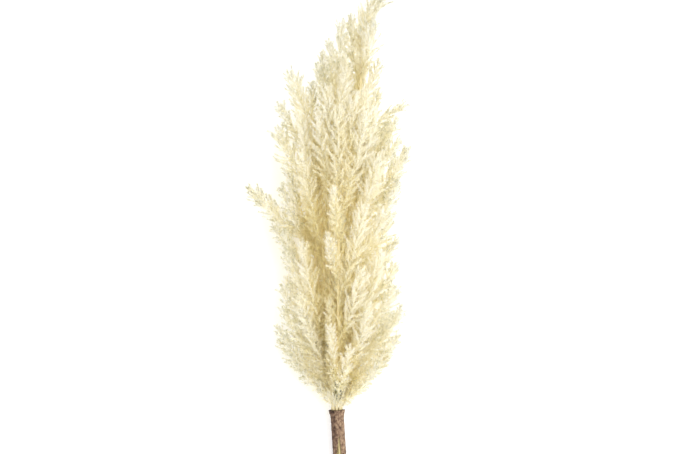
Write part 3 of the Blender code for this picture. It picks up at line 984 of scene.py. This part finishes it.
@dataclass(frozen=True)
class FloretFinish:
    """Dried cream florets: painted tan shade in heart and valley, painted shade on needle points, darker
    crown.
    """

    pale: Colour = (0.99, 0.975, 0.90)
    cream: Colour = (0.985, 0.965, 0.85)
    straw: Colour = (0.97, 0.925, 0.72)
    # The heart colour is painted tan shade, laid on the heart and the valley.
    heart: Colour = (0.92, 0.84, 0.48)
    # The tip colour is painted shade at the needles' points, strongest at the twigs' shaded ends.
    tip: Colour = (0.34, 0.33, 0.13)
    crown: Colour = (0.945, 0.94, 0.915)
    roughness: float = 0.85
    gloss: float = 0.25
    translucence: float = 0.8
    light_reach: Triple = (1.0, 0.95, 0.8)
    light_scale: float = 0.002
    drift_scale: float = 0.05
    drift_stretch: Triple = (1.0, 0.45, 1.0)
    drift_marks: Triple = (0.34, 0.5, 0.66)
    fleck_scale: float = 0.7
    fleck_band: Band = (0.35, 0.75)
    heart_shade_band: Band = (0.8, 0.05)
    point_shade_band: Band = (0.18, 0.75)
    crown_band: Band = (395.0, 440.0)
    # Where the valley's painted tan shade lies on the bundle's face.
    valley_turn: float = math.radians(-11.3)
    valley_shift: float = -31.2
    valley_side: Band = (20.0, 9.0)
    valley_top: Band = (320.0, 290.0)
    valley_foot: Band = (95.0, 125.0)
    valley_depth: Band = (32.0, 18.0)

    def make(self) -> bpy.types.Material:
        """The florets' material."""
        finish = Finish("dried_florets", self.roughness, self.gloss)
        finish.shader.inputs["Subsurface Weight"].default_value = self.translucence
        finish.shader.inputs["Subsurface Radius"].default_value = self.light_reach
        finish.shader.inputs["Subsurface Scale"].default_value = self.light_scale
        drifts = finish.noise(self.drift_scale, self.drift_stretch)
        body = finish.ramp(drifts, list(zip(self.drift_marks, (self.straw, self.cream, self.pale))))
        flecks = finish.span(finish.noise(self.fleck_scale), self.fleck_band)
        body = finish.mix(flecks, body, self.straw)
        # Painted tan shade in the heart, where the tone is low.
        body = finish.mix(finish.span(finish.attribute(TONE), self.heart_shade_band), body, self.heart)
        # Painted tan shade in the valley on the bundle's face.
        body = finish.mix(self.valley(finish), body, self.heart)
        body = finish.mix(finish.span(finish.distance("Y"), self.crown_band), body, self.crown, "MULTIPLY")
        # Painted shade at the needles' points.
        body = finish.mix(finish.span(finish.attribute(POINT_SHADE), self.point_shade_band), body, self.tip)
        finish.feed(finish.shader.inputs["Base Color"], body)
        return finish.material

    def valley(self, finish: Finish) -> Socket:
        """Where the florets take the painted tan shade of the valley that slants up the bundle's face.

        Args:
            finish: The material so far.

        Returns:
            How much of the valley's painted shade a point takes, from 0 to 1.
        """
        turned = finish.node("ShaderNodeMapping", Vector=finish.bundle.outputs["Vector"],
                             Rotation=(0.0, 0.0, self.valley_turn), Location=(self.valley_shift, 0.0, 0.0))
        place = finish.node("ShaderNodeSeparateXYZ", Vector=turned.outputs["Vector"]).outputs
        return finish.product(
            finish.span(finish.calculate("ABSOLUTE", place["X"]), self.valley_side),
            finish.span(place["Z"], self.valley_depth),
            finish.span(place["Y"], self.valley_top),
            finish.span(place["Y"], self.valley_foot),
        )


@dataclass(frozen=True)
class StemFinish:
    """Dry stems: streaked ochre, paler above the handle, painted shade in the parting, pale pith at the cut.
    """

    light: Colour = (0.74, 0.62, 0.32)
    dark: Colour = (0.48, 0.38, 0.17)
    young: Colour = (0.82, 0.73, 0.47)
    # The parting colour is painted dark shade, between the stems where they part.
    parting_shade: Colour = (0.17, 0.16, 0.06)
    pith: Colour = (0.78, 0.68, 0.45)
    roughness: float = 0.7
    gloss: float = 0.3
    streak_scale: float = 1.2
    streak_stretch: Triple = (1.0, 0.05, 1.0)
    streak_detail: float = 4.0
    streak_marks: Band = (0.35, 0.6)
    young_band: Band = (92.0, 95.0)
    parting_shade_foot: Band = (98.0, 102.0)
    parting_shade_top: Band = (140.0, 122.0)
    parting_shade_side: Band = (-6.0, -3.0)
    cut_band: Band = (0.12, 0.02)
    relief: float = 0.5
    relief_depth: float = 0.0003

    def make(self) -> bpy.types.Material:
        """The stems' material."""
        finish = Finish("dry_stem", self.roughness, self.gloss)
        streaks = finish.noise(self.streak_scale, self.streak_stretch, self.streak_detail)
        body = finish.ramp(streaks, list(zip(self.streak_marks, (self.dark, self.light))))
        along = finish.distance("Y")
        body = finish.mix(finish.span(along, self.young_band), body, self.young)
        # Painted dark shade on the stems in the parting above the handle.
        parting = finish.product(
            finish.span(along, self.parting_shade_foot),
            finish.span(along, self.parting_shade_top),
            finish.span(finish.distance("X"), self.parting_shade_side),
        )
        body = finish.mix(parting, body, self.parting_shade)
        body = finish.mix(finish.span(along, self.cut_band), body, self.pith)
        finish.feed(finish.shader.inputs["Base Color"], body)
        finish.bump(streaks, self.relief, self.relief_depth)
        return finish.material


@dataclass(frozen=True)
class TapeFinish:
    """Crumpled brown paper tape, mottled, with painted shade along one side."""

    light: Colour = (0.43, 0.30, 0.19)
    middle: Colour = (0.24, 0.15, 0.095)
    dark: Colour = (0.08, 0.045, 0.03)
    # Painted shade, multiplied in towards -u on the tape's shadow side.
    shadow_side: Colour = (0.5, 0.45, 0.45)
    roughness: float = 0.8
    gloss: float = 0.3
    mottle_scale: float = 0.45
    mottle_stretch: Triple = (1.0, 0.7, 1.0)
    mottle_marks: Triple = (0.32, 0.48, 0.66)
    shadow_side_band: Band = (0.0, -5.0)
    crease_scale: float = 1.6
    crease_stretch: Triple = (1.0, 0.6, 1.0)
    detail: float = 6.0
    relief: float = 0.7
    relief_depth: float = 0.0006

    def make(self) -> bpy.types.Material:
        """The tape's material."""
        finish = Finish("brown_paper_tape", self.roughness, self.gloss)
        mottle = finish.noise(self.mottle_scale, self.mottle_stretch, self.detail)
        body = finish.ramp(mottle, list(zip(self.mottle_marks, (self.dark, self.middle, self.light))))
        # Painted shade along the tape's side towards -u.
        shadow_side_share = finish.span(finish.distance("X"), self.shadow_side_band)
        body = finish.mix(shadow_side_share, body, self.shadow_side, "MULTIPLY")
        finish.feed(finish.shader.inputs["Base Color"], body)
        creases = finish.noise(self.crease_scale, self.crease_stretch, self.detail)
        finish.bump(creases, self.relief, self.relief_depth)
        return finish.material


@dataclass(frozen=True)
class Plume:
    """A flowering stem with its sprays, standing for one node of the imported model."""

    node: str
    stem: Stem
    stem_steps: int = 6
    stem_sides: int = 8
    pressed_height: float = 0.004

    def build(self, maker: SprayMaker, materials: list[bpy.types.Material]) -> Object:
        """Models the plume and dresses it.

        Args:
            maker: What sets the sprays.
            materials: The florets' and the stem's materials.

        Returns:
            The plume.
        """
        posy = Posy()
        posy.add(tube(self.stem.marks(self.stem_steps), self.stem_sides), slot=Slot.STEM)
        twigs = maker.dress_stem(posy, self.stem)
        for side in self.stem.sides:
            twigs += maker.set_spray(posy, Spray.arching(self.stem.point_at(side.root_v), side))
        plume = bpy.data.objects.new(self.node + "_fine", posy.gathered(self.node + "_fine"))
        bpy.context.scene.collection.objects.link(plume)
        plume.data.transform(LAY)
        for material in materials:
            plume.data.materials.append(material)
        press_flat(plume, self.pressed_height)
        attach(plume, "root")
        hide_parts(self.node)
        faces = len(plume.data.polygons)
        logger.info("%s: %d sprays, %d twigs, %d faces", plume.name, len(self.stem.sides), twigs, faces)
        return plume


@dataclass(frozen=True)
class TapeSleeve:
    """The paper tape: one long strip wound round the stems in overlapping turns, parted towards its foot."""

    node: str = "stem_wrap"
    foot_v: float = 15.0
    bore: float = 6.0
    width: float = 12.5
    thickness: float = 0.25
    overlap_rise: float = 0.42
    pitch: float = 8.6
    steps: int = 40
    rows: int = 6
    flare: float = 1.1
    flare_height: float = 7.0
    flare_steps: int = 4
    crumple: float = 0.09
    crumple_seed: int = 3
    fray: float = 0.7
    fray_evenness: float = 0.6
    fray_height: float = 0.6
    fray_seed: int = 5
    slit_top_v: float = 68.0
    slit_width: float = 6.6
    slit_depth: float = 10.0
    slit_u: float = 0.8
    slit_w: float = 6.65

    def length(self) -> float:
        """The sleeve's length along the handle."""
        return (handle_middle(HANDLE_TOP_V) - handle_middle(self.foot_v)).length

    def wound(self) -> Object:
        """The strip wound up, standing on the origin, in millimetres."""
        deselect_all()
        bpy.ops.mesh.primitive_plane_add(size=1.0, rotation=(math.pi / 2, 0.0, 0.0))
        strip = bpy.context.object
        strip.scale = (self.thickness, self.width, 1.0)
        strip.location = (self.bore + self.thickness, 0.0, -self.width / 2)
        bpy.ops.object.transform_apply(location=True, rotation=True, scale=True)
        with editing(strip):
            pick(strip, lambda place: place.z < -self.width / 2)
            bpy.ops.transform.translate(value=(self.overlap_rise, 0.0, 0.0))
            bpy.ops.mesh.select_all(action="SELECT")
            bpy.ops.mesh.delete(type="ONLY_FACE")
            work = bmesh.from_edit_mesh(strip.data)
            for edge in work.edges:
                edge.select_set(abs(edge.verts[0].co.z - edge.verts[1].co.z) > self.width / 2)
            bmesh.update_edit_mesh(strip.data)
            bpy.ops.mesh.select_mode(type="EDGE")
            bpy.ops.mesh.subdivide(number_cuts=self.rows - 1)
        turned = strip.modifiers.new("wind", "SCREW")
        turned.axis = "Z"
        turned.angle = math.tau
        turned.screw_offset = self.pitch
        turned.iterations = math.ceil((self.length() + self.width) / self.pitch) + 1
        turned.steps = self.steps
        turned.render_steps = self.steps
        turned.use_merge_vertices = False
        bpy.ops.object.modifier_apply(modifier=turned.name)
        return strip

    def trim(self, strip: Object) -> None:
        """Closes the strip's ends and cuts the winding level at its foot and its top."""
        with editing(strip):
            bpy.ops.mesh.select_all(action="SELECT")
            bpy.ops.mesh.remove_doubles(threshold=MERGE_DISTANCE)
            bpy.ops.mesh.fill_holes(sides=0)
            for height, keep_above in ((0.0, True), (self.length(), False)):
                bpy.ops.mesh.select_all(action="SELECT")
                bpy.ops.mesh.bisect(plane_co=(0.0, 0.0, height), plane_no=(0.0, 0.0, 1.0), use_fill=True,
                                    clear_inner=keep_above, clear_outer=not keep_above)
            bpy.ops.mesh.select_all(action="SELECT")
            bpy.ops.mesh.normals_make_consistent(inside=False)

    def shape(self, strip: Object) -> None:
        """Flares the top edge, crumples the paper and frays the top."""
        top = self.length()
        grow = 1 + self.flare / self.flare_steps / self.bore
        with editing(strip):
            for i in range(self.flare_steps):
                height = top - self.flare_height * (1 - i / self.flare_steps)
                pick(strip, lambda place: place.z > height)
                bpy.ops.transform.resize(value=(grow, grow, 1.0), center_override=(0.0, 0.0, height))
            bpy.ops.mesh.select_all(action="SELECT")
            bpy.ops.transform.vertex_random(offset=self.crumple, seed=self.crumple_seed)
            pick(strip, lambda place: place.z > top - self.fray_height)
            bpy.ops.transform.vertex_random(offset=self.fray, normal=0.0, uniform=self.fray_evenness,
                                            seed=self.fray_seed)

    def part(self, strip: Object, place: Matrix) -> None:
        """Parts the tape with a long slit that closes to a point, so that the stems show between its edges.

        Args:
            strip: The winding, standing on the origin.
            place: Where the winding goes in the bundle.
        """
        deselect_all()
        bpy.ops.mesh.primitive_cone_add(vertices=6, radius1=1.0, radius2=1.0, depth=1.0)
        blade = bpy.context.object
        size = (self.slit_width / math.sqrt(3), self.slit_top_v - self.foot_v, self.slit_depth, 1.0)
        middle = Vector((handle_middle(self.slit_top_v).x + self.slit_u, self.foot_v, self.slit_w))
        blade.data.transform(place.inverted() @ Matrix.Translation(middle) @ Matrix.Diagonal(size))
        cut = strip.modifiers.new("slit", "BOOLEAN")
        cut.operation = "DIFFERENCE"
        cut.solver = "EXACT"
        cut.object = blade
        deselect_all()
        bpy.context.view_layer.objects.active = strip
        bpy.ops.object.modifier_apply(modifier=cut.name)
        bpy.data.objects.remove(blade, do_unlink=True)

    def build(self, material: bpy.types.Material) -> Object:
        """Models the sleeve and dresses it.

        Args:
            material: The tape's material.

        Returns:
            The sleeve.
        """
        foot = handle_middle(self.foot_v)
        aim = (handle_middle(HANDLE_TOP_V) - foot).to_track_quat("Z", "Y").to_matrix().to_4x4()
        place = Matrix.Translation(foot) @ aim
        sleeve = self.wound()
        self.trim(sleeve)
        self.part(sleeve, place)
        self.shape(sleeve)
        sleeve.data.transform(LAY @ place)
        sleeve.name = self.node + "_fine"
        sleeve.data.materials.clear()
        sleeve.data.materials.append(material)
        sleeve.data.polygons.foreach_set("use_smooth", [True] * len(sleeve.data.polygons))
        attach(sleeve, "root")
        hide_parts(self.node)
        logger.info("%s: %d faces", sleeve.name, len(sleeve.data.polygons))
        return sleeve


@dataclass(frozen=True)
class Studio:
    """A pale light table, soft light and a camera that looks straight down on the bundle's axis."""

    aim: Triple = (2.0, 275.0, 0.0)
    distance: float = 1.889
    lens: float = 100.0
    sensor: float = 36.0
    floor_size: float = 8.0
    floor_colour: Colour = (0.93, 0.93, 0.93)
    floor_roughness: float = 0.9
    floor_glow: float = 0.2
    world_strength: float = 1.08
    key_power: float = 15.0
    key_size: float = 1.6
    key_from: Triple = (0.8, 0.2, 1.5)
    bounces: int = 12

    def add_floor(self) -> None:
        """The floor, which isn't part of the object."""
        deselect_all()
        bpy.ops.mesh.primitive_plane_add(size=self.floor_size)
        floor = bpy.context.object
        floor.name = "studio_floor"
        paint = bpy.data.materials.new("pale_floor")
        paint.use_nodes = True
        shader = paint.node_tree.nodes["Principled BSDF"]
        shader.inputs["Base Color"].default_value = (*self.floor_colour, 1.0)
        shader.inputs["Roughness"].default_value = self.floor_roughness
        shader.inputs["Emission Color"].default_value = (*self.floor_colour, 1.0)
        shader.inputs["Emission Strength"].default_value = self.floor_glow
        floor.data.materials.append(paint)

    def add_light(self) -> None:
        """The sky's even light and one broad soft lamp."""
        world = bpy.data.worlds.new("soft_light")
        bpy.context.scene.world = world
        world.use_nodes = True
        sky = world.node_tree.nodes["Background"].inputs
        sky["Color"].default_value = (1.0, 1.0, 1.0, 1.0)
        sky["Strength"].default_value = self.world_strength
        lamp = bpy.data.lights.new("key", "AREA")
        lamp.energy = self.key_power
        lamp.size = self.key_size
        key = bpy.data.objects.new("key", lamp)
        key.location = self.key_from
        key.rotation_euler = Vector(self.key_from).to_track_quat("Z", "Y").to_euler()
        bpy.context.scene.collection.objects.link(key)

    def add_camera(self) -> None:
        """The camera, with the photograph's framing."""
        lens = bpy.data.cameras.new("camera")
        lens.lens = self.lens
        lens.sensor_width = self.sensor
        camera = bpy.data.objects.new("camera", lens)
        turn = LAY.to_3x3().normalized()
        place = LAY @ Vector(self.aim) + turn @ Vector((0.0, 0.0, self.distance))
        camera.matrix_world = Matrix.Translation(place) @ turn.to_4x4()
        bpy.context.scene.collection.objects.link(camera)
        bpy.context.scene.camera = camera

    def build(self) -> None:
        """Sets up the studio."""
        self.add_floor()
        self.add_light()
        self.add_camera()
        bpy.context.scene.view_settings.view_transform = "Standard"
        bpy.context.scene.cycles.diffuse_bounces = self.bounces
        logger.info("studio: floor, light and camera")


def main() -> None:
    """Builds the bundle and its studio."""
    logging.basicConfig(level=logging.INFO, format="%(name)s: %(message)s")
    draw = random.Random(SEED)
    maker = SprayMaker(TwigBox(draw), draw)
    materials = [FloretFinish().make(), StemFinish().make()]
    for node, stem in STEMS.items():
        Plume(node, stem).build(maker, materials)
    TapeSleeve().build(TapeFinish().make())
    Studio().build()


if __name__ == "__main__":
    main()
